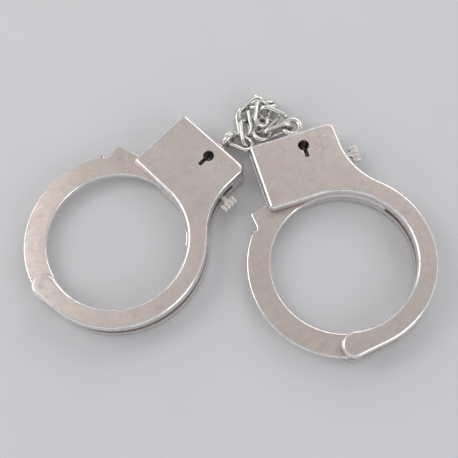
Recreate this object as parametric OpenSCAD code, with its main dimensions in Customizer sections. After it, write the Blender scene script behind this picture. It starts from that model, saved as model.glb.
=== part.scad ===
// Pair of double-strand handcuffs joined by a short chain.
// Millimetres. Both cuffs lie flat with their underside on Z = 0.
// Each cuff is drawn in its own frame: the centre of the wrist ring is the
// origin, +Y points at the chain, +Z is the side with the keyhole.

/* [Ring] */
// Radius of the wrist opening
ring_in = 28; // [24:0.5:32]
// Outer radius of the double strand
ring_out = 36; // [32:0.5:40]
// Radius of the rounded cheek around the jaw pivot
cheek_r = 4.85; // [4:0.05:6]
// Jaw pivot, sideways from the ring centre
pivot_x = -7.2; // [-12:0.1:0]
// Jaw pivot, along the cuff from the ring centre
pivot_y = -32.5; // [-36:0.1:-28]

/* [Housing] */
// Left side of the lock housing
house_l = -20.3; // [-24:0.1:-16]
// Right side of the lock housing
house_r = 15.6; // [12:0.1:20]
// Chain end of the lock housing
house_t = 57; // [50:0.5:64]
// Angle on the ring where the neck of the housing runs out
neck_a = 47; // [35:1:60]
// Corner radius at the free side
corner_l = 1.8; // [1:0.1:4]
// Corner radius at the lever side
corner_r = 3.2; // [1:0.1:5]

/* [Shells] */
// Thickness over both shells
thick = 11.4; // [9:0.1:14]
// Gap between the two shells that the jaw swings in
gap = 3.2; // [2:0.1:5]
// Sheet thickness of the pressed shells
sheet = 1.2; // [0.8:0.1:2]

/* [Jaw] */
// Thickness of the single strand
jaw_t = 2.9; // [2:0.1:3.1]
// Outer radius of the single strand
jaw_out = 37.4; // [34:0.1:40]
// Radius of the toothed edge about the jaw pivot
tooth_r = 66.2; // [60:0.1:70]
// Angle from one ratchet tooth to the next
pitch = 1.75; // [1:0.05:4]
// Depth of a ratchet tooth
tooth_d = 0.9; // [0.5:0.05:1.5]
// How many ratchet teeth are cut in the jaw
teeth = 21; // [8:1:30]
// How many teeth further open the second cuff stands
open_b = 2; // [0:1:8]

/* [Lock] */
// Angle the pawl stands lifted at rest, just clear of the teeth
pawl_lift = 5.8; // [4:0.1:10]
// Radius of the key post
post_r = 1; // [0.8:0.05:1.4]
// Radius of the round part of the keyhole
keyhole_r = 2.25; // [1.8:0.05:3]

/* [Swivel] */
// Radius of the swivel spindle
spindle_r = 1.95; // [1.5:0.05:2.5]
// Radius of the eye's centre line
eye_r = 3.3; // [2.5:0.1:4.5]
// Radius of the bar the eye is bent from
eye_w = 1.3; // [1:0.05:1.8]

/* [Chain] */
// Wire radius of a link
wire = 0.95; // [0.7:0.05:1.4]
// Half of the outer width of a link
link_w = 3.9; // [3:0.1:5]
// Half of the outer length of a link
link_l = 7; // [5:0.1:9]

/* [Layout] */
// Turn of the first cuff
turn_a = 15.4; // [-90:0.1:90]
// Turn of the second cuff
turn_b = -46.4; // [-90:0.1:90]

/* [Hidden] */
mid = thick/2;
zl = mid - gap/2;          // upper rim of the back shell
zh = mid + gap/2;          // lower rim of the front shell
piv = [pivot_x, pivot_y];
// fillet between the straight side and the ring
neck_r = (ring_out*cos(neck_a) - house_r)/(1 - cos(neck_a));
neck_c = (ring_out + neck_r)*[cos(neck_a), sin(neck_a)];
// common tangent of ring and cheek
cheek_d = norm(piv);
tan_a = atan2(pivot_y, pivot_x) + acos((ring_out - cheek_r)/cheek_d);
pawl_p = [-14.5, 39.2];    // pawl pivot
tooth_a = 98;              // first ratchet tooth, seen from the jaw pivot
post = [0.9, 50.3];        // key post
pin_a = [7.4, 51.2];       // guide pins beside the pawl finger
pin_b = [7.4, 46.9];
rivet_p = [[-16.4, 53.2], [11.6, 53]];
wall_y = 48.8;             // where the closed side wall starts
place_a = [44.17, -18.47];
place_b = [-43.86, -6.25];
centre = [1.1, -0.46];           // puts the middle of the footprint on the origin
// resting heap of the chain: middle of each link and its turn about X, Y and Z
heap = [
  [[21.5, 40.6, 4.7], [83, -14, 12]],
  [[15.4, 40.8, 4.4], [14, 32, 70]],
  [[17.3, 46.5, 2.4], [-22, -5, 37]],
  [[20.2, 47.6, 4.6], [61, 19, -21]],
  [[15.5, 48.1, 6.4], [36, 10, 82]],
  [[15.8, 53.7, 3.7], [-40, -14, -11]],
  [[10.9, 52.2, 3.65], [43, -11, 41]],
  [[7.8, 46.2, 2.5], [29, 0, -82]],
  [[8.5, 40.6, 3.4], [-53, 0, -86]],
  [[5.4, 36.8, 4.4], [-15, -2, -31]]
];
$fn = 96;

steel = [0.78, 0.75, 0.73];
dark = [0.45, 0.45, 0.47];

function on(c, r, a) = c + r*[cos(a), sin(a)];

module at_a() translate([place_a[0] + centre[0], place_a[1] + centre[1], 0]) rotate([0, 0, turn_a]) children();
module at_b() translate([place_b[0] + centre[0], place_b[1] + centre[1], 0]) rotate([0, 0, turn_b]) children();

// Plan of one shell, drawn d inside its true outline
module shell_plan(d) {
  tp = on([0, 0], ring_out - d - 0.03, tan_a);
  tq = on(piv, cheek_r - d - 0.03, tan_a);
  // ring from the cheek round to the top of the wrist opening
  difference() {
    circle(r = ring_out - d);
    circle(r = ring_in + d);
    polygon([[0, 0], [0, 60], [-60, 60], [-60, -60], [pivot_x, -60], [pivot_x, 0]]);
  }
  // cheek round the jaw pivot
  translate(piv) circle(r = cheek_r - d);
  difference() {
    polygon([piv, tq, tp, [tp[0] - 0.4, -31], [0.5, -30], [0.5, pivot_y + cheek_r - d],
             [pivot_x, pivot_y + cheek_r - d]]);
    circle(r = ring_in + d);
  }
  // lock housing
  difference() {
    union() {
      polygon([[house_l + d, ring_in + corner_l], [house_l + corner_l, ring_in + d],
               [0, ring_in + d], [house_r - d, ring_in + d], [house_r - d, house_t - corner_r],
               [house_r - corner_r, house_t - d], [house_l + corner_l, house_t - d],
               [house_l + d, house_t - corner_l]]);
      translate([house_l + corner_l, house_t - corner_l]) circle(r = corner_l - d);
      translate([house_l + corner_l, ring_in + corner_l]) circle(r = corner_l - d);
      translate([house_r - corner_r, house_t - corner_r]) circle(r = corner_r - d);
    }
    circle(r = ring_in + d);
  }
  // neck between housing and ring
  difference() {
    polygon([[20, 20*tan(neck_a)], neck_c, [neck_c[0], neck_c[1] - 0.3], [house_r - d - 0.3, neck_c[1] - 0.3],
             [0, neck_c[1] - 0.3], [0, 20]]);
    circle(r = ring_in + d);
    translate(neck_c) circle(r = neck_r + d + 0.03);
  }
}

module keyhole_plan() {
  translate(post) circle(r = keyhole_r);
  translate([post[0] - 0.8, post[1] - 5.3]) square([1.6, 5.3]);
}

// one pressed shell with its face at z = 0 and its rim at z = zl
module shell() {
  difference() {
    union() {
      linear_extrude(zl) shell_plan(0);
      // side wall beyond the lever, closed up to the seam
      translate([0, 0, 2]) linear_extrude(mid - 2.05) intersection() {
        shell_plan(0);
        translate([house_r - 3.4, wall_y]) square([5, 12]);
      }
    }
    translate([0, 0, sheet]) linear_extrude(thick) shell_plan(sheet);
    // rivet holes
    for (p = concat(rivet_p, [pawl_p, piv]))
      translate([p[0], p[1], -1]) cylinder(r = 1.5, h = sheet + 2);
    for (p = [pin_a, pin_b])
      translate([p[0], p[1], -1]) cylinder(r = 0.7, h = sheet + 2);
    // notch for the swivel spindle
    translate([0, house_t - sheet - 0.5, mid]) rotate([-90, 0, 0]) cylinder(r = spindle_r + 0.45, h = sheet + 1);
  }
}

module back_shell() color(steel) difference() {
  shell();
  // seat of the key post
  translate([post[0], post[1], -1]) cylinder(r = post_r, h = 3);
}

module front_shell() color(steel) difference() {
  translate([0, 0, thick]) mirror([0, 0, 1]) shell();
  translate([0, 0, thick - sheet - 1]) linear_extrude(sheet + 2) keyhole_plan();
}

// single strand: eye, arc, thumb nub and toothed blade
module jaw_plan() {
  difference() {
    union() {
      translate(piv) circle(r = cheek_r - 0.2);
      // arc from the pivot to the nub
      difference() {
        circle(r = jaw_out);
        circle(r = ring_in);
        polygon([[0, 0], [pivot_x + 1, pivot_y], [pivot_x + 1, -60], [60, -60], [60, 60], [0, 60],
                 on([0, 0], 80, 141), on([0, 0], 20, 141)]);
      }
      // nub and blade inside the toothed circle
      intersection() {
        difference() {
          translate(piv) circle(r = tooth_r);
          circle(r = ring_in);
        }
        polygon([[0, 0], [-25.5, 16.5], [-28.6, 21], [-27.4, 24], [-28.1, 29.4], [-27.6, 31], [-27.6, 70], [45, 70],
                 on(piv, 80, 60.3), on(piv, 65.8, 60.3), on(piv, 64.6, 58), on(piv, 62.4, 56.2), on(piv, 60, 55),
                 on([0, 0], 28.6, 33.5), on([0, 0], 27.5, 34.5)]);
      }
    }
    // ratchet teeth, steep face towards the nub
    for (i = [0:teeth - 1]) let (a = tooth_a - i*pitch)
      polygon([on(piv, tooth_r + 0.6, a), on(piv, tooth_r + 0.04, a), on(piv, tooth_r - tooth_d, a - pitch*0.92),
               on(piv, tooth_r + 0.6, a - pitch*0.96)]);
    translate(piv) circle(r = 2.05);
  }
}

// the jaw stands open by a number of teeth
module jaw(n) color(steel) translate([pivot_x, pivot_y, mid - jaw_t/2]) rotate([0, 0, n*pitch])
  translate([-pivot_x, -pivot_y, 0]) linear_extrude(jaw_t) jaw_plan();

// countersunk pivot rivet with a raised collar that carries the jaw
module jaw_rivet() color(steel) translate([pivot_x, pivot_y, 0]) {
  cylinder(r = 1.5, h = thick);
  translate([0, 0, sheet]) cylinder(r = 2, h = thick - 2*sheet);
}

// ratchet pawl with its lever, drawn meshed with the jaw
module pawl_plan() {
  first = 5;               // jaw gaps that the pawl teeth stand in
  last = 8;
  difference() {
    union() {
      translate(pawl_p) circle(r = 3);
      // tooth block, key finger and lever arm
      polygon(concat(
        [pawl_p + [-1.6, -2.5], [-9.5, 35.6]],
        [for (i = [first:last + 1]) on(piv, tooth_r + 0.2, tooth_a - i*pitch)],
        [[5.4, 37], [10, 37.9], [17, 38.3], [17, 40], [8, 40.3], [-0.6, 41.4], [-1.1, 42], [-1.1, 50.4],
         [-1.8, 51], [-2.9, 50.6], [-2.9, 42.4], [-3.6, 41.8], [-11, 42.1], pawl_p + [0, 2.9]]));
      for (i = [first:last]) let (a = tooth_a - i*pitch)
        polygon([on(piv, tooth_r + 0.6, a - 0.1*pitch), on(piv, tooth_r + 0.15, a - 0.02*pitch),
                 on(piv, tooth_r - tooth_d + 0.3, a - 0.78*pitch), on(piv, tooth_r + 0.6, a - 0.82*pitch)]);
      // release pad outside the housing, square to it when the pawl is lifted
      translate([18.5, 38.8]) rotate([0, 0, -pawl_lift]) translate([0, -3.3]) square([3.4, 6.6]);
      translate([16.5, 38.3]) square([2.6, 1.7]);
    }
    translate(pawl_p) circle(r = 1.56);
  }
}

module pawl() color(dark) translate([pawl_p[0], pawl_p[1], mid - jaw_t/2]) rotate([0, 0, pawl_lift])
  translate([-pawl_p[0], -pawl_p[1], 0]) linear_extrude(jaw_t) pawl_plan();

module pawl_pin() color(steel) translate([pawl_p[0], pawl_p[1], 0]) cylinder(r = 1.5, h = thick);

// leaf spring hooked round a rivet, pressing the pawl on the teeth
module pawl_spring() color(dark) translate([0, 0, mid - 1.2]) linear_extrude(2.4) {
  difference() {
    translate(rivet_p[0]) circle(r = 2.75);
    translate(rivet_p[0]) circle(r = 2.15);
  }
  polygon([[-16.4, 55.35], [-6.3, 55.35], [-9.2, 45], [-9.9, 43.8], [-12.3, 44.2], [-12.2, 43.6], [-9.6, 43.2],
           [-8.6, 44.8], [-5.6, 55.2], [-6.2, 55.95], [-16.4, 55.95]]);
}

module key_post() color(dark) translate([post[0], post[1], 0]) cylinder(r = post_r, h = 8.6);

// spacer rivets and guide pins between the shells
module shell_rivets() color(steel) {
  for (p = rivet_p) translate([p[0], p[1], 0]) {
    cylinder(r = 1.5, h = thick);
    translate([0, 0, sheet]) cylinder(r = 2.1, h = thick - 2*sheet);
  }
  for (p = [pin_a, pin_b]) translate([p[0], p[1], 0]) cylinder(r = 0.7, h = thick);
}

// bearing block that the swivel turns in
module swivel_bush() color(dark) difference() {
  translate([-4.6, 54.35, sheet]) cube([9.2, 1.4, thick - 2*sheet]);
  translate([0, 50, mid]) rotate([-90, 0, 0]) cylinder(r = spindle_r + 0.05, h = 10);
}

// headed spindle; the eye stands turned about the spindle
module swivel(t) color(steel) translate([0, 0, mid]) rotate([0, t, 0]) {
  // spindle with its inner head and outer collar
  rotate([-90, 0, 0]) {
    translate([0, 0, 52.8]) cylinder(r = 3.2, h = 1.5);
    translate([0, 0, 54]) cylinder(r = spindle_r, h = 5);
    translate([0, 0, 57.1]) cylinder(r = 3, h = 1.1);
  }
  // eye
  translate([0, 58.2 + eye_r + eye_w - 0.6, 0]) rotate_extrude() translate([eye_r, 0]) circle(r = eye_w);
}

// oval chain link of round wire, number n from the first cuff
module link(n) color(steel) let (h = heap[n - 1], r = link_w - wire, s = link_l - link_w)
  translate([h[0][0] + centre[0], h[0][1] + centre[1], h[0][2]]) rotate(h[1]) {
    for (a = [0, 180]) rotate([0, 0, a]) {
      translate([s, 0, 0]) rotate([0, 0, -90]) rotate_extrude(angle = 180) translate([r, 0]) circle(r = wire);
      translate([-s, r, 0]) rotate([0, 90, 0]) cylinder(r = wire, h = 2*s);
    }
  }

at_a() front_shell();  // a_front_shell
at_a() back_shell();  // a_back_shell
at_a() jaw(0);  // a_jaw
at_a() jaw_rivet();  // a_jaw_rivet
at_a() pawl();  // a_pawl
at_a() pawl_pin();  // a_pawl_pin
at_a() pawl_spring();  // a_pawl_spring
at_a() key_post();  // a_key_post
at_a() shell_rivets();  // a_shell_rivets
at_a() swivel_bush();  // a_swivel_bush
at_a() swivel(0);  // a_swivel
at_b() front_shell();  // b_front_shell
at_b() back_shell();  // b_back_shell
at_b() jaw(open_b);  // b_jaw
at_b() jaw_rivet();  // b_jaw_rivet
at_b() pawl();  // b_pawl
at_b() pawl_pin();  // b_pawl_pin
at_b() pawl_spring();  // b_pawl_spring
at_b() key_post();  // b_key_post
at_b() shell_rivets();  // b_shell_rivets
at_b() swivel_bush();  // b_swivel_bush
at_b() swivel(90);  // b_swivel
link(1);  // link_01
link(2);  // link_02
link(3);  // link_03
link(4);  // link_04
link(5);  // link_05
link(6);  // link_06
link(7);  // link_07
link(8);  // link_08
link(9);  // link_09
link(10);  // link_10
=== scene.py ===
import math

import bmesh
import bpy
from mathutils import Euler, Matrix, Vector


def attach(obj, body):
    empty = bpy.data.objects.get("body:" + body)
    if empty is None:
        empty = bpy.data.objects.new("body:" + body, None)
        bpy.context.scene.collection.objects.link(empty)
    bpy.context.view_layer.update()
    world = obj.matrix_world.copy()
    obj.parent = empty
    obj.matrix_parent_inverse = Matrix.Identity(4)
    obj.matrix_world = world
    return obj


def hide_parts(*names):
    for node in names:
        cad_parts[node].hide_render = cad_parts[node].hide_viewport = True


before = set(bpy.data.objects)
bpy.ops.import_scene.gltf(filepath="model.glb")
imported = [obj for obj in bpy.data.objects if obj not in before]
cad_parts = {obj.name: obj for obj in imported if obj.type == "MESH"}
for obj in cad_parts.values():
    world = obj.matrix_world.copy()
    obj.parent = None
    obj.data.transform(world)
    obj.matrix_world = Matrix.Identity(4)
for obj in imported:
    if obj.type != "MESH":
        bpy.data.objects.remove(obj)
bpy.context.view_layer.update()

MM = 0.001

# ---------------------------------------------------------------- layout, as in the part's source (mm)
CENTRE = (1.1, -0.46)
PLACE = {"a": (44.17, -18.47, 15.4), "b": (-43.86, -6.25, -46.4)}
RING_IN, RING_OUT = 28.0, 36.0
PIV = (-7.2, -32.5)
CHEEK_R = 4.85
HOUSE_L, HOUSE_R, HOUSE_T = -20.3, 15.6, 57.0
NECK_A = 47.0
CORNER_L, CORNER_R = 1.8, 3.2
THICK, GAP, SHEET = 11.4, 3.2, 1.2
MID = THICK / 2
ZL, ZH = MID - GAP / 2, MID + GAP / 2
JAW_T, JAW_OUT, TOOTH_R, PITCH, TOOTH_D, TEETH, TOOTH_A = 2.9, 37.4, 66.2, 1.75, 0.9, 21, 98.0
OPEN = {"a": 0, "b": 2}
PAWL_P, PAWL_LIFT = (-14.5, 39.2), 5.8
POST, KEYHOLE_R = (0.9, 50.3), 2.25
PINS = [(7.4, 51.2), (7.4, 46.9)]
RIVETS = [(-16.4, 53.2), (11.6, 53.0)]
WALL_Y = 48.8
EYE_TURN = {"a": 0, "b": 90}
WIRE, LINK_W, LINK_L = 0.95, 3.9, 7.0
HEAP = [
    ((21.5, 40.6, 4.7), (83, -14, 12)),
    ((15.4, 40.8, 4.4), (14, 32, 70)),
    ((17.3, 46.5, 2.4), (-22, -5, 37)),
    ((20.2, 47.6, 4.6), (61, 19, -21)),
    ((15.5, 48.1, 6.4), (36, 10, 82)),
    ((15.8, 53.7, 3.7), (-40, -14, -11)),
    ((10.9, 52.2, 3.65), (43, -11, 41)),
    ((7.8, 46.2, 2.5), (29, 0, -82)),
    ((8.5, 40.6, 3.4), (-53, 0, -86)),
    ((5.4, 36.8, 4.4), (-15, -2, -31)),
]


def place(k):
    x, y, t = PLACE[k]
    return Matrix.Translation(((x + CENTRE[0]) * MM, (y + CENTRE[1]) * MM, 0)) @ Matrix.Rotation(math.radians(t), 4, "Z")


def cosd(a):
    return math.cos(math.radians(a))


def sind(a):
    return math.sin(math.radians(a))


def on(c, r, a):
    return (c[0] + r * cosd(a), c[1] + r * sind(a))


# ---------------------------------------------------------------- plan outlines (mm, cuff's own frame)
def arc(c, r, a0, a1, step=2.0):
    n = max(2, int(math.ceil(abs(a1 - a0) / step)))
    return [on(c, r, a0 + (a1 - a0) * i / n) for i in range(n + 1)]


def clean(loop, tol=1e-4):
    out = []
    for p in loop:
        if not out or math.hypot(p[0] - out[-1][0], p[1] - out[-1][1]) > tol:
            out.append(p)
    while len(out) > 2 and math.hypot(out[0][0] - out[-1][0], out[0][1] - out[-1][1]) <= tol:
        out.pop()
    return out


def rounded(points, step=12.0):
    """A polygon of (x, y, radius) corners, each rounded by its radius."""
    out = []
    n = len(points)
    for i in range(n):
        p0, p1, p2 = points[i - 1], points[i], points[(i + 1) % n]
        r = p1[2] if len(p1) > 2 else 0
        a = Vector((p0[0] - p1[0], p0[1] - p1[1]))
        b = Vector((p2[0] - p1[0], p2[1] - p1[1]))
        if r <= 0 or a.length < 1e-6 or b.length < 1e-6:
            out.append((p1[0], p1[1]))
            continue
        la, lb = a.length, b.length
        a.normalize()
        b.normalize()
        ang = math.acos(max(-1, min(1, a.dot(b))))
        if ang > math.pi - 0.02:
            out.append((p1[0], p1[1]))
            continue
        t = min(r / math.tan(ang / 2), 0.48 * la, 0.48 * lb)
        r = t * math.tan(ang / 2)
        bis = (a + b).normalized()
        c = Vector((p1[0], p1[1])) + bis * (r / math.sin(ang / 2))
        s = Vector((p1[0], p1[1])) + a * t - c
        e = Vector((p1[0], p1[1])) + b * t - c
        a0 = math.atan2(s.y, s.x)
        d = math.atan2(e.y, e.x) - a0
        while d > math.pi:
            d -= 2 * math.pi
        while d < -math.pi:
            d += 2 * math.pi
        m = max(2, int(math.ceil(abs(math.degrees(d)) / step)))
        for j in range(m + 1):
            q = a0 + d * j / m
            out.append((c.x + r * math.cos(q), c.y + r * math.sin(q)))
    return out


def subdivide(loop, longest=4.0):
    out = []
    for i, p in enumerate(loop):
        q = loop[(i + 1) % len(loop)]
        n = max(1, int(math.ceil(math.hypot(q[0] - p[0], q[1] - p[1]) / longest)))
        for j in range(n):
            out.append((p[0] + (q[0] - p[0]) * j / n, p[1] + (q[1] - p[1]) * j / n))
    return out


def shell_loop():
    neck_r = (RING_OUT * cosd(NECK_A) - HOUSE_R) / (1 - cosd(NECK_A))
    nc = ((RING_OUT + neck_r) * cosd(NECK_A), (RING_OUT + neck_r) * sind(NECK_A))
    tan_a = math.degrees(math.atan2(PIV[1], PIV[0])) + math.degrees(
        math.acos((RING_OUT - CHEEK_R) / math.hypot(*PIV))
    )
    L = arc((0, 0), RING_OUT, tan_a, NECK_A, 1.5)
    L += arc(nc, neck_r, 180 + NECK_A, 180, 2.0)
    L += [(HOUSE_R, WALL_Y - 0.02), (HOUSE_R, WALL_Y)]
    L += arc((HOUSE_R - CORNER_R, HOUSE_T - CORNER_R), CORNER_R, 0, 90, 9)
    L += [(HOUSE_R - 3.4, HOUSE_T), (HOUSE_R - 3.42, HOUSE_T)]
    L += arc((HOUSE_L + CORNER_L, HOUSE_T - CORNER_L), CORNER_L, 90, 180, 10)
    L += arc((HOUSE_L + CORNER_L, RING_IN + CORNER_L), CORNER_L, 180, 270, 10)
    L += arc((0, 0), RING_IN, 90, -103.0, 1.5)
    L += arc(PIV, CHEEK_R, 97, 360 + tan_a, 5)
    return clean(subdivide(clean(L)))


def side_wall(p):
    """True where the wall of the housing runs up to the seam."""
    return p[0] > HOUSE_R - 3.41 and p[1] > WALL_Y - 0.01


def circle_hole(c, r, step=15):
    return clean(arc(c, r, 360, 0, step))


def keyhole_loop():
    # clockwise: round top, straight slot with rounded end
    w = 0.8
    a = math.degrees(math.asin(w / KEYHOLE_R))
    L = arc(POST, KEYHOLE_R, 270 - a, -90 + a, 10)
    y = POST[1] - 5.3
    L += [(POST[0] + w, y + 0.15), (POST[0] + w - 0.15, y), (POST[0] - w + 0.15, y), (POST[0] - w, y + 0.15)]
    return clean(L)


def jaw_loop():
    L = []
    # eye on the pivot, from under the arc round its free side
    r = CHEEK_R - 0.2
    L += arc(PIV, r, -79, 64, 6)
    # inner edge of the single strand, clockwise to the tip
    L += arc((0, 0), RING_IN, -100.8, -325.6, 1.5)
    tip = [(*on((0, 0), 28.35, 34.0), 0.4), (*on(PIV, 60, 55), 1.0), (*on(PIV, 62.4, 56.2), 1.0),
           (*on(PIV, 64.6, 58), 1.0), (*on(PIV, 65.9, 60.3), 0.5)]
    tip = [(p[0], p[1]) for p in tip]
    L += tip
    # ratchet teeth up to the plain part of the blade
    for i in range(TEETH - 1, -1, -1):
        a = TOOTH_A - i * PITCH
        L += [on(PIV, TOOTH_R, a - 0.955 * PITCH), on(PIV, TOOTH_R - TOOTH_D, a - 0.92 * PITCH), on(PIV, TOOTH_R, a - 0.01)]
    L += arc(PIV, TOOTH_R, 98.6, 107.7, 1.2)
    # thumb nub and waist
    nub = rounded([(-27.0, 31.6), (-27.75, 30.4, 0.9), (-28.1, 29.4, 3), (-27.4, 24.2, 3.2), (-28.1, 22.6, 0.7),
                   (-29.05, 23.45, 0.8), (-29.9, 22.5, 2), (-31, 20.8)])
    L += nub[1:-1]
    L += arc((0, 0), JAW_OUT, 142.5, 257.5, 1.5)
    return clean(subdivide(clean(L)))


def jaw_ease(p):
    """Small edge rounding on the ratchet teeth and the tip, full elsewhere."""
    r = math.hypot(p[0] - PIV[0], p[1] - PIV[1])
    a = math.degrees(math.atan2(p[1] - PIV[1], p[0] - PIV[0]))
    return 0.3 if r > 59 and 54 < a < TOOTH_A + 0.5 else 1.0


def pad_point(x, y):
    c, s = cosd(-PAWL_LIFT), sind(-PAWL_LIFT)
    return (18.5 + c * x - s * y, 38.8 + s * x + c * y)


def rib_loops():
    """Cross ribs of the release pad, cut to its outline."""
    out = []
    for i in range(4):
        y0 = -3.3 + i * 1.8
        c0, c1 = (0.5 if i == 0 else 0.2), (0.5 if i == 3 else 0.2)
        P = rounded([(0, y0, c0), (3.4, y0, c0), (3.4, y0 + 1.2, c1), (0, y0 + 1.2, c1)], 30)
        out.append(clean(turn([pad_point(*p) for p in P], PAWL_P, PAWL_LIFT)))
    return out


def pad_core():
    P = rounded([(0.3, -3.0, 0.3), (3.1, -3.0, 0.3), (3.1, 3.0, 0.3), (0.3, 3.0, 0.3)], 30)
    return clean(turn([pad_point(*p) for p in P], PAWL_P, PAWL_LIFT))


def pawl_loop():
    first, last = 5, 8
    L = arc(PAWL_P, 3.0, 90, 238, 10)
    L += [(PAWL_P[0] - 1.6, PAWL_P[1] - 2.5), (-9.5, 35.6)]
    for i in range(first, last + 1):
        a = TOOTH_A - i * PITCH
        L += [on(PIV, TOOTH_R + 0.25, a), on(PIV, TOOTH_R - TOOTH_D + 0.3, a - 0.78 * PITCH), on(PIV, TOOTH_R + 0.25, a - 0.84 * PITCH)]
    L += [on(PIV, TOOTH_R + 0.2, TOOTH_A - (last + 1) * PITCH), (5.4, 37), (10, 37.9), (16.5, 38.3)]
    L += [pad_point(*p) for p in [(0.6, -0.45), (0.8, -0.3), (0.8, 1.05), (0.6, 1.2)]]
    L += [(16.5, 40), (8, 40.3), (-0.6, 41.4), (-1.1, 42), (-1.1, 50.4), (-1.8, 51), (-2.9, 50.6), (-2.9, 42.4),
          (-3.6, 41.8), (-11, 42.1)]
    return clean(turn(clean(L), PAWL_P, PAWL_LIFT))


def turn(loop, c, a):
    return [(c[0] + (p[0] - c[0]) * cosd(a) - (p[1] - c[1]) * sind(a), c[1] + (p[0] - c[0]) * sind(a) + (p[1] - c[1]) * cosd(a)) for p in loop]


def inset(loop, d):
    """loop moved to its left by d: into the metal for an anticlockwise rim or a clockwise hole."""
    out = []
    n = len(loop)
    for i in range(n):
        a, p, b = loop[i - 1], loop[i], loop[(i + 1) % n]
        u = Vector((p[0] - a[0], p[1] - a[1])).normalized()
        v = Vector((b[0] - p[0], b[1] - p[1])).normalized()
        n1, n2 = Vector((-u.y, u.x)), Vector((-v.y, v.x))
        k = 1 + n1.dot(n2)
        m = (n1 + n2) / max(k, 0.5)
        out.append((p[0] + m.x * d, p[1] + m.y * d))
    return out


# ---------------------------------------------------------------- mesh building
def fillet(d0, z0, d1, z1, seg=5):
    """Quarter-round profile from a wall at (d0, z0) to a face at (d1, z1), as (inset, height) pairs."""
    return [(d0 + (d1 - d0) * (1 - cosd(90 * i / seg)), z0 + (z1 - z0) * sind(90 * i / seg)) for i in range(seg + 1)]


def rings(bm, loop, prof, M, rim_wear_and_highlight=None, ease=None):
    """The wear list gives how rubbed bright each ring of the profile is, 0 to 1; that brightness is also a painted
    highlight along the rims. ease: share of the inset a point takes.
    """
    lay = bm.verts.layers.float.get("rim_wear_and_highlight") or bm.verts.layers.float.new("rim_wear_and_highlight")
    made = []
    for i, (d, z) in enumerate(prof):
        pts = inset(loop, d) if abs(d) > 1e-9 else loop
        if ease:
            pts = [(p[0] + (q[0] - p[0]) * e, p[1] + (q[1] - p[1]) * e) for p, q, e in zip(loop, pts, map(ease, loop))]
        zs = [z(q) for q in loop] if callable(z) else [z] * len(loop)
        made.append([bm.verts.new(M @ Vector((x * MM, y * MM, h * MM))) for (x, y), h in zip(pts, zs)])
        if rim_wear_and_highlight:
            for v in made[-1]:
                v[lay] = rim_wear_and_highlight[i]
    n = len(loop)
    for r0, r1 in zip(made[:-1], made[1:]):
        for i in range(n):
            j = (i + 1) % n
            bm.faces.new((r0[i], r0[j], r1[j], r1[i]))
    return made


def cap(bm, loops):
    edges = []
    for ring in loops:
        n = len(ring)
        for i in range(n):
            e = bm.edges.get((ring[i], ring[(i + 1) % n])) or bm.edges.new((ring[i], ring[(i + 1) % n]))
            edges.append(e)
    bmesh.ops.triangle_fill(bm, use_beauty=True, use_dissolve=False, edges=edges)


def finish_mesh(bm, name, sharp=38):
    bmesh.ops.remove_doubles(bm, verts=bm.verts, dist=1e-7)
    bmesh.ops.recalc_face_normals(bm, faces=bm.faces)
    for f in bm.faces:
        f.smooth = True
    for e in bm.edges:
        if len(e.link_faces) == 2:
            e.smooth = e.calc_face_angle(0) < math.radians(sharp)
    me = bpy.data.meshes.new(name)
    bm.to_mesh(me)
    bm.free()
    ob = bpy.data.objects.new(name, me)
    bpy.context.scene.collection.objects.link(ob)
    w = ob.modifiers.new("weighted", "WEIGHTED_NORMAL")
    w.keep_sharp = True
    w.weight = 60
    return ob


def plate(name, loops, z0, z1, M, b=0.35, seg=4, ease=None):
    """Flat plate with rounded edges; loops[0] is the rim, the others are holes."""
    bm = bmesh.new()
    prof = [(d, z) for d, z in reversed(fillet(0, z0 + b, b, z0, seg))] + fillet(0, z1 - b, b, z1, seg)
    # rounded edges of the rim get wear and a painted highlight, the flat sides none
    w = [0.0] + [1.0] * seg
    made = [rings(bm, L, prof, M, w + w[::-1], ease) if i == 0 else rings(bm, L, prof, M, None, lambda q: 0.3) for i, L in enumerate(loops)]
    cap(bm, [m[0] for m in made])
    cap(bm, [m[-1] for m in made])
    return finish_mesh(bm, name)


def lathe(bm, prof, M, seg=48, close=True):
    """prof: (radius, height) pairs turned about local Z; M in metres."""
    made = []
    for r, z in prof:
        if r < 1e-6:
            made.append([bm.verts.new(M @ Vector((0, 0, z * MM)))])
        else:
            made.append([bm.verts.new(M @ Vector((r * cosd(360 * i / seg) * MM, r * sind(360 * i / seg) * MM, z * MM))) for i in range(seg)])
    for r0, r1 in zip(made[:-1], made[1:]):
        for i in range(seg):
            j = (i + 1) % seg
            if len(r0) == 1 and len(r1) == 1:
                continue
            if len(r0) == 1:
                bm.faces.new((r0[0], r1[j], r1[i]))
            elif len(r1) == 1:
                bm.faces.new((r0[i], r0[j], r1[0]))
            else:
                bm.faces.new((r0[i], r0[j], r1[j], r1[i]))


def edge_round(prof, b, seg=3):
    """Rounds the outer corners of a lathe profile given as (r, z, radius)."""
    pts = rounded([(r, z, q) for r, z, q in prof], 90 / seg)
    return pts


def tube(bm, path, radius, M, seg=20):
    """Closed tube along a closed path of points lying in local XY; radius(i) in mm."""
    n = len(path)
    made = []
    for i in range(n):
        a, p, b = Vector(path[i - 1]), Vector(path[i]), Vector(path[(i + 1) % n])
        t = (b - a).normalized()
        u = Vector((t.y, -t.x, 0))
        r = radius(i)
        made.append([bm.verts.new(M @ ((p + u * (r * cosd(360 * k / seg)) + Vector((0, 0, r * sind(360 * k / seg)))) * MM)) for k in range(seg)])
    for i in range(n):
        r0, r1 = made[i], made[(i + 1) % n]
        for k in range(seg):
            m = (k + 1) % seg
            bm.faces.new((r0[k], r0[m], r1[m], r1[k]))


# ---------------------------------------------------------------- materials
def mat(name):
    m = bpy.data.materials.new(name)
    m.use_nodes = True
    nt = m.node_tree
    nt.nodes.clear()
    return m, nt


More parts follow.
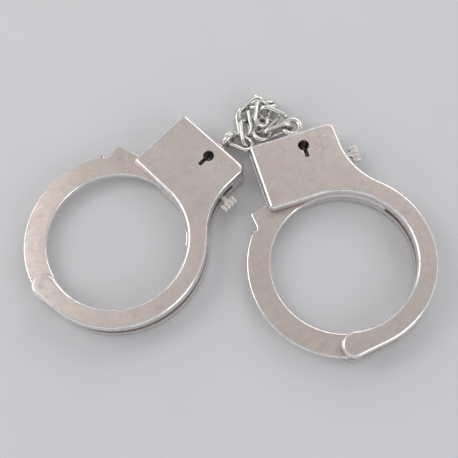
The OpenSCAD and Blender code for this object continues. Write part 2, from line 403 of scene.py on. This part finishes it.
class Net:
    def __init__(self, nt):
        self.nt = nt

    def new(self, kind, **kw):
        n = self.nt.nodes.new(kind)
        for k, v in kw.items():
            setattr(n, k, v)
        return n

    def link(self, a, b):
        self.nt.links.new(a, b)

    def math(self, op, a, b=None, clamp=False):
        n = self.new("ShaderNodeMath", operation=op)
        n.use_clamp = clamp
        for i, v in enumerate((a, b)):
            if v is None:
                continue
            if isinstance(v, (int, float)):
                n.inputs[i].default_value = v
            else:
                self.link(v, n.inputs[i])
        return n.outputs[0]

    def noise(self, vec, scale, detail=4, rough=0.55, stretch=None, rot=(0, 0, 0)):
        v = vec
        if stretch is not None:
            mp = self.new("ShaderNodeMapping")
            mp.inputs["Scale"].default_value = stretch
            mp.inputs["Rotation"].default_value = rot
            self.link(vec, mp.inputs["Vector"])
            v = mp.outputs[0]
        n = self.new("ShaderNodeTexNoise")
        n.inputs["Scale"].default_value = scale
        n.inputs["Detail"].default_value = detail
        n.inputs["Roughness"].default_value = rough
        self.link(v, n.inputs["Vector"])
        return n.outputs["Fac"]

    def ramp(self, fac, stops):
        r = self.new("ShaderNodeValToRGB")
        e = r.color_ramp.elements
        while len(e) < len(stops):
            e.new(0.5)
        for el, (p, c) in zip(e, stops):
            el.position = p
            el.color = c if len(c) == 4 else (*c, 1)
        self.link(fac, r.inputs["Fac"])
        return r.outputs["Color"]

    def grey(self, fac, a, b, lo=0.0, hi=1.0):
        """Maps fac from a..b to lo..hi."""
        n = self.new("ShaderNodeMapRange")
        n.inputs["From Min"].default_value = a
        n.inputs["From Max"].default_value = b
        n.inputs["To Min"].default_value = lo
        n.inputs["To Max"].default_value = hi
        self.link(fac, n.inputs["Value"])
        return n.outputs["Result"]

    def mix(self, fac, a, b, blend="MIX"):
        n = self.new("ShaderNodeMix", data_type="RGBA", blend_type=blend)
        for sock, v in ((n.inputs[0], fac), (n.inputs[6], a), (n.inputs[7], b)):
            if isinstance(v, (int, float)):
                sock.default_value = v
            elif isinstance(v, tuple):
                sock.default_value = (*v, 1)
            else:
                self.link(v, sock)
        return n.outputs[2]


def plated(name, base, dark, rough, spread, scratch=1.0, edge=0.5, crevice_shade_strength=0.6, seed=0.0):
    """Nickel plate: mottled satin colour and roughness, long fine scratches, edges rubbed bright by wear and painted
    brighter as a highlight, painted shade in corners and gaps.
    """
    m, nt = mat(name)
    g = Net(nt)
    out = g.new("ShaderNodeOutputMaterial")
    bsdf = g.new("ShaderNodeBsdfPrincipled")
    g.link(bsdf.outputs[0], out.inputs[0])
    tc = g.new("ShaderNodeTexCoord")
    shift = g.new("ShaderNodeVectorMath", operation="ADD")
    shift.inputs[1].default_value = (seed, seed * 0.7, seed * 0.3)
    g.link(tc.outputs["Object"], shift.inputs[0])
    co = shift.outputs[0]
    cloud = g.noise(co, 90, 5, 0.6)
    mottle = g.noise(co, 270, 5, 0.6)
    grain = g.noise(co, 3200, 3, 0.5)
    s1 = g.noise(co, 1.0, 2, 0.5, stretch=(60, 5200, 900), rot=(0, 0, 0.35))
    s2 = g.noise(co, 1.0, 2, 0.5, stretch=(4300, 70, 900), rot=(0, 0, -0.2))
    s3 = g.noise(co, 1.0, 2, 0.5, stretch=(90, 3600, 900), rot=(0, 0, 1.1))
    lines = g.math("MAXIMUM", g.math("MAXIMUM", g.grey(s1, 0.67, 0.74), g.grey(s2, 0.68, 0.75)), g.grey(s3, 0.69, 0.76))
    patch = g.grey(g.noise(co, 150, 3, 0.5), 0.42, 0.62)
    lines = g.math("MULTIPLY", lines, patch)
    lines = g.math("MULTIPLY", lines, scratch, clamp=True)
    pits = g.grey(g.noise(co, 1500, 2, 0.5), 0.70, 0.78)
    # the rims of the pressed plates are rubbed bright; the bright colour there is also a painted highlight along the
    # edges
    rim = g.new("ShaderNodeAttribute", attribute_name="rim_wear_and_highlight")
    wear_and_highlight = g.math("MULTIPLY", rim.outputs["Fac"], g.grey(g.noise(co, 500, 4, 0.6), 0.25, 0.5), clamp=True)
    # painted shade: ambient occlusion darkens the colour towards near-black in corners, seams and gaps between parts,
    # and raises the roughness there
    ao = g.new("ShaderNodeAmbientOcclusion", samples=6)
    ao.inputs["Distance"].default_value = 0.0022
    crevice_shade = g.grey(ao.outputs["AO"], 0.75, 0.25)
    crevice_shade = g.math("MULTIPLY", crevice_shade, crevice_shade_strength, clamp=True)
    fac = g.math("ADD", g.grey(cloud, 0.36, 0.64, 0.05, 0.5), g.grey(mottle, 0.36, 0.64, -0.05, 0.45), clamp=True)
    col = g.mix(fac, base, dark)
    tint = g.grey(g.noise(co, 75, 4, 0.6), 0.46, 0.66, 0, 0.45)
    col = g.mix(tint, col, tuple(c * k for c, k in zip(base, (0.86, 0.93, 0.88))))
    col = g.mix(g.math("MULTIPLY", pits, 0.35), col, tuple(c * 0.45 for c in dark))
    col = g.mix(g.math("MULTIPLY", lines, 0.45), col, tuple(min(1, c * 1.12) for c in base))
    # rims mixed towards near-white: wear, and a painted highlight
    col = g.mix(g.math("MULTIPLY", wear_and_highlight, edge), col, (0.98, 0.975, 0.965))
    # painted shade mixed in from the occlusion mask
    col = g.mix(crevice_shade, col, (0.10, 0.095, 0.10))
    g.link(col, bsdf.inputs["Base Color"])
    bsdf.inputs["Metallic"].default_value = 1.0
    r = g.math("ADD", g.grey(cloud, 0.3, 0.7, rough - spread, rough + spread), g.grey(mottle, 0.3, 0.7, -0.06, 0.06))
    r = g.math("ADD", r, g.math("MULTIPLY", lines, -0.10))
    r = g.math("ADD", r, g.math("MULTIPLY", wear_and_highlight, -0.20 * edge))
    r = g.math("ADD", r, g.math("MULTIPLY", crevice_shade, 0.25), clamp=True)
    g.link(g.math("MAXIMUM", r, 0.08), bsdf.inputs["Roughness"])
    h = g.math("ADD", g.math("MULTIPLY", grain, 0.35), g.math("MULTIPLY", mottle, 0.8))
    h = g.math("ADD", h, g.math("MULTIPLY", lines, -0.5))
    h = g.math("ADD", h, g.math("MULTIPLY", pits, -0.6))
    bump = g.new("ShaderNodeBump")
    bump.inputs["Strength"].default_value = 0.16
    bump.inputs["Distance"].default_value = 0.00012
    g.link(h, bump.inputs["Height"])
    g.link(bump.outputs[0], bsdf.inputs["Normal"])
    return m


SHELL = plated("nickel_shell", (0.86, 0.755, 0.715), (0.58, 0.51, 0.49), 0.37, 0.12, 1.0, 0.95, 0.75)
JAW = plated("nickel_jaw", (0.87, 0.76, 0.715), (0.60, 0.52, 0.49), 0.33, 0.12, 1.0, 0.95, 0.7, 0.37)
CHAIN = plated("nickel_chain", (0.95, 0.935, 0.90), (0.82, 0.805, 0.765), 0.16, 0.04, 0.6, 0.4, 0.7, 0.81)
SWIVEL = plated("nickel_swivel", (0.93, 0.905, 0.875), (0.80, 0.775, 0.745), 0.20, 0.05, 0.7, 0.5, 0.7, 0.53)
RIVET = plated("nickel_rivet", (0.86, 0.755, 0.715), (0.58, 0.51, 0.49), 0.37, 0.12, 0.8, 0.5, 0.6, 1.3)
# dark steel: its dark colour is painted shade, so the key post reads black inside the keyhole; the swivel bush gets it
# too
LOCK_STEEL_SHADE = plated("lock_steel", (0.16, 0.16, 0.17), (0.09, 0.09, 0.10), 0.42, 0.08, 1.0, 0.4, 0.8, 1.9)
SPRING = plated("spring_steel", (0.26, 0.29, 0.36), (0.18, 0.19, 0.24), 0.32, 0.06, 0.6, 0.4, 0.6, 2.3)
PAWL = plated("pawl_steel", (0.86, 0.77, 0.735), (0.66, 0.59, 0.565), 0.33, 0.08, 1.0, 0.95, 0.7, 2.9)
MATS = {"shell": SHELL, "jaw": JAW, "chain": CHAIN, "swivel": SWIVEL, "rivet": RIVET, "lock_steel": LOCK_STEEL_SHADE, "spring": SPRING}


def dress(ob, material, slot_name, body, *nodes):
    ob.data.materials.clear()
    ob.data.materials.append(material)
    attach(ob, body)
    if nodes:
        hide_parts(*nodes)
    return ob


# ---------------------------------------------------------------- cuffs
def shell(name, front, M):
    """Pressed shell: rounded face edge, straight wall, open rim; front has the keyhole."""
    bm = bmesh.new()

    def h(z):
        return THICK - z if front else z

    rim = shell_loop()
    r = 1.35
    def top(drop):
        return lambda q: h((MID - 0.05 if side_wall(q) else ZL) - drop)

    wall = [(SHEET, h(SHEET)), (SHEET, top(0.18)), (SHEET - 0.18, top(0)), (0.18, top(0)), (0.05, top(0.05)), (0, top(0.18))]
    prof = wall + fillet(0, h(r), r, h(0), 6)
    # wear and painted highlight on the face fillet and on the open edge of the wall
    outer = rings(bm, rim, prof, M, [0, 0, 0, 0.3, 0.7, 0.6, 0.3, 0.8, 1, 1, 1, 0.8, 0])
    holes = [circle_hole(p, 1.5, 11.25) for p in RIVETS + [PAWL_P, PIV]] + [circle_hole(p, 0.7, 11.25) for p in PINS]
    if front:
        holes.append(keyhole_loop())
    else:
        holes.append(circle_hole(POST, 1.0, 20))
    ceil, face = [outer[0]], [outer[-1]]
    for L in holes:
        big = L is holes[-1] and front
        c = 0.22 if big else 0.015
        m = rings(bm, L, [(0, h(SHEET)), (0, h(c))] + fillet(0, h(c), c, h(0), 3)[1:], M)
        ceil.append(m[0])
        face.append(m[-1])
    cap(bm, ceil)
    cap(bm, face)
    return finish_mesh(bm, name)


def pin(bm, p, r, M, z0=0.0, z1=THICK, collar=None, soft=0.035):
    """Rivet through both faces with slightly domed, rounded ends."""
    e = r - 0.004
    prof = [(0, z0 + 0.002), (e - soft, z0 + 0.002), (e - 0.25 * soft, z0 + 0.35 * soft), (e, z0 + 1.1 * soft), (e, z0 + 0.3)]
    if collar:
        prof += [(e, SHEET), (collar, SHEET), (collar, THICK - SHEET), (e, THICK - SHEET)]
    prof += [(e, z1 - 0.3), (e, z1 - 1.1 * soft), (e - 0.25 * soft, z1 - 0.35 * soft), (e - soft, z1 - 0.002), (0, z1 - 0.002)]
    lathe(bm, prof, M @ Matrix.Translation((p[0] * MM, p[1] * MM, 0)), 32)


for k in "ab":
    M = place(k)
    cuff, jawb, pawlb, swb = f"cuff_{k}", f"jaw_{k}", f"pawl_{k}", f"swivel_{k}"
    dress(shell(f"{k}_front_cheek", True, M), SHELL, "shell", cuff, f"{k}_front_shell")
    dress(shell(f"{k}_back_cheek", False, M), SHELL, "shell", cuff, f"{k}_back_shell")

    # jaw
    MJ = M @ Matrix.Translation((PIV[0] * MM, PIV[1] * MM, 0)) @ Matrix.Rotation(math.radians(OPEN[k] * PITCH), 4, "Z") @ Matrix.Translation((-PIV[0] * MM, -PIV[1] * MM, 0))
    jl = jaw_loop()
    dress(plate(f"{k}_single_strand", [jl, circle_hole(PIV, 2.05)], MID - JAW_T / 2, MID + JAW_T / 2, MJ, 0.75, 5, jaw_ease), JAW, "jaw", jawb, f"{k}_jaw")

    # rivets
    bm = bmesh.new()
    pin(bm, PIV, 1.5, M, collar=2.0)
    dress(finish_mesh(bm, f"{k}_pivot_rivet", 12), RIVET, "rivet", cuff, f"{k}_jaw_rivet")
    bm = bmesh.new()
    pin(bm, PAWL_P, 1.5, M)
    dress(finish_mesh(bm, f"{k}_pawl_rivet", 12), RIVET, "rivet", cuff, f"{k}_pawl_pin")
    bm = bmesh.new()
    for p in RIVETS:
        pin(bm, p, 1.5, M, collar=2.1)
    for p in PINS:
        pin(bm, p, 0.7, M, soft=0.13)
    dress(finish_mesh(bm, f"{k}_case_rivets", 12), RIVET, "rivet", cuff, f"{k}_shell_rivets")

    # pawl with its lever
    dress(plate(f"{k}_pawl_lever", [pawl_loop(), circle_hole(PAWL_P, 1.56)], MID - JAW_T / 2 + 0.02, MID + JAW_T / 2 - 0.02, M, 0.22, 3), PAWL, "lock_steel", pawlb, f"{k}_pawl")
    dress(plate(f"{k}_pad_core", [pad_core()], MID - JAW_T / 2 + 0.35, MID + JAW_T / 2 - 0.35, M, 0.15, 2), PAWL, "lock_steel", pawlb)
    for i, L in enumerate(rib_loops()):
        dress(plate(f"{k}_pad_rib_{i + 1}", [L], MID - JAW_T / 2, MID + JAW_T / 2, M, 0.3, 4), PAWL, "lock_steel", pawlb)

    # key post with a rounded tip, in dark steel whose darkness is painted shade inside the keyhole
    bm = bmesh.new()
    lathe(bm, [(0, 0.02), (0.8, 0.04), (0.97, 0.2), (0.97, 8.0), (0.9, 8.3), (0.7, 8.5), (0.4, 8.58), (0, 8.6)],
          M @ Matrix.Translation((POST[0] * MM, POST[1] * MM, 0)), 24)
    dress(finish_mesh(bm, f"{k}_post"), LOCK_STEEL_SHADE, "lock_steel", cuff, f"{k}_key_post")

    # swivel: turned shank with rounded collar, and the eye
    bm = bmesh.new()
    MT = M @ Matrix.Translation((0, 0, MID * MM)) @ Matrix.Rotation(math.radians(EYE_TURN[k]), 4, "Y")
    MS = MT @ Matrix.Rotation(math.radians(-90), 4, "X")
    prof = [(0, 52.8), (2.9, 52.8), (3.15, 52.95), (3.2, 53.2), (3.2, 53.9), (3.1, 54.2), (2.9, 54.3), (1.95, 54.3), (1.95, 57.1),
            (2.7, 57.1), (2.92, 57.2), (3.0, 57.42), (3.0, 57.85), (2.92, 58.08), (2.7, 58.2), (1.9, 58.22), (1.5, 58.45),
            (1.25, 58.9), (1.1, 59.2), (0, 59.2)]
    lathe(bm, prof, MS, 48)
    path = [(3.3 * cosd(a), 62.2 + 3.3 * sind(a), 0) for a in range(0, 360, 5)]
    tube(bm, path, lambda i: 1.295, MT, 28)
    dress(finish_mesh(bm, f"{k}_swivel_eye"), SWIVEL, "swivel", swb, f"{k}_swivel")

    # inner parts keep their CAD shape
    for n, mm in ((f"{k}_swivel_bush", LOCK_STEEL_SHADE), (f"{k}_pawl_spring", SPRING)):
        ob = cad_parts[n]
        ob.data.materials.clear()
        ob.data.materials.append(mm)


# ---------------------------------------------------------------- chain
def link_path():
    s, r = LINK_L - LINK_W, LINK_W - WIRE
    P = [(s + r * cosd(a), r * sind(a), 0) for a in range(-90, 91, 5)]
    P += [(s - 2 * s * i / 12, r, 0) for i in range(1, 12)]
    P += [(-s + r * cosd(a), r * sind(a), 0) for a in range(90, 271, 5)]
    P += [(-s + 2 * s * i / 12, -r, 0) for i in range(1, 12)]
    return P


for i, (pos, rot) in enumerate(HEAP, 1):
    M = Matrix.Translation(((pos[0] + CENTRE[0]) * MM, (pos[1] + CENTRE[1]) * MM, pos[2] * MM)) @ Euler([math.radians(a) for a in rot], "XYZ").to_matrix().to_4x4()
    P = link_path()

    def radius(j, P=P, i=i):
        x, y, _ = P[j]
        r = 0.944 + 0.004 * math.sin(j * 0.7 + i)
        if y < 0 and abs(x - 0.3) < 0.6:      # closed by a butt weld on one side
            r -= 0.05 * math.exp(-((x - 0.3) / 0.16) ** 2)
        return r

    bm = bmesh.new()
    tube(bm, P, radius, M, 24)
    dress(finish_mesh(bm, f"chain_link_{i:02d}"), CHAIN, "chain", f"link_{i}", f"link_{i:02d}")

# ---------------------------------------------------------------- floor, light and camera
bm = bmesh.new()
bmesh.ops.create_grid(bm, x_segments=2, y_segments=2, size=2.0)
me = bpy.data.meshes.new("floor")
bm.to_mesh(me)
bm.free()
floor = bpy.data.objects.new("floor", me)
floor.location = (0, 0, -0.0001)
bpy.context.scene.collection.objects.link(floor)
fm, nt = mat("floor_pale")
g = Net(nt)
o = g.new("ShaderNodeOutputMaterial")
b = g.new("ShaderNodeBsdfPrincipled")
g.link(b.outputs[0], o.inputs[0])
tc = g.new("ShaderNodeTexCoord")
g.link(g.mix(g.noise(tc.outputs["Object"], 30, 3), (0.72, 0.725, 0.745), (0.76, 0.765, 0.785)), b.inputs["Base Color"])
b.inputs["Roughness"].default_value = 0.75
me.materials.append(fm)

world = bpy.data.worlds.new("studio")
world.use_nodes = True
bpy.context.scene.world = world
nt = world.node_tree
nt.nodes.clear()
g = Net(nt)
o = g.new("ShaderNodeOutputWorld")
bg = g.new("ShaderNodeBackground")
tc = g.new("ShaderNodeTexCoord")
sep = g.new("ShaderNodeSeparateXYZ")
g.link(tc.outputs["Generated"], sep.inputs[0])
sky = g.ramp(g.grey(sep.outputs["Z"], 0.0, 1.0), [(0.0, (0.015, 0.016, 0.022)), (0.10, (0.03, 0.032, 0.04)), (0.20, (0.96, 0.97, 0.98)), (0.48, (0.96, 0.97, 0.98)), (0.60, (0.16, 0.16, 0.18)), (0.78, (0.46, 0.452, 0.448)), (1.0, (0.54, 0.53, 0.525))])
g.link(sky, bg.inputs["Color"])
bg.inputs["Strength"].default_value = 1.0
g.link(bg.outputs[0], o.inputs[0])


def area(name, loc, target, size, power, color=(1, 1, 1)):
    L = bpy.data.lights.new(name, "AREA")
    L.shape = "RECTANGLE"
    L.size, L.size_y = size
    L.energy = power
    L.color = color
    ob = bpy.data.objects.new(name, L)
    ob.location = loc
    ob.rotation_euler = (Vector(target) - Vector(loc)).to_track_quat("-Z", "Y").to_euler()
    bpy.context.scene.collection.objects.link(ob)


area("key", (-0.55, 0.20, 0.60), (0, 0, 0), (0.5, 0.4), 1.3, (1.0, 0.98, 0.96))
area("top_back", (0.30, 0.62, 0.60), (0, 0, 0), (0.6, 0.4), 1.0)
area("fill", (0.55, -0.45, 0.45), (0, 0, 0), (0.4, 0.4), 0.8, (0.95, 0.97, 1.0))

cam = bpy.data.cameras.new("camera")
cam.sensor_width = 36
cam.lens = 844.2 / 458 * 36
cam.clip_start = 0.01
co = bpy.data.objects.new("camera", cam)
eye = Vector((17.6 + CENTRE[0], -117.9 + CENTRE[1], 320.6)) * MM
tgt = Vector((CENTRE[0], CENTRE[1], 0)) * MM
q = (tgt - eye).to_track_quat("-Z", "Y")
co.matrix_world = Matrix.Translation(eye) @ q.to_matrix().to_4x4() @ Matrix.Rotation(math.radians(-10.7), 4, "Z")
bpy.context.scene.collection.objects.link(co)
bpy.context.scene.camera = co
bpy.context.scene.view_settings.view_transform = "Standard"

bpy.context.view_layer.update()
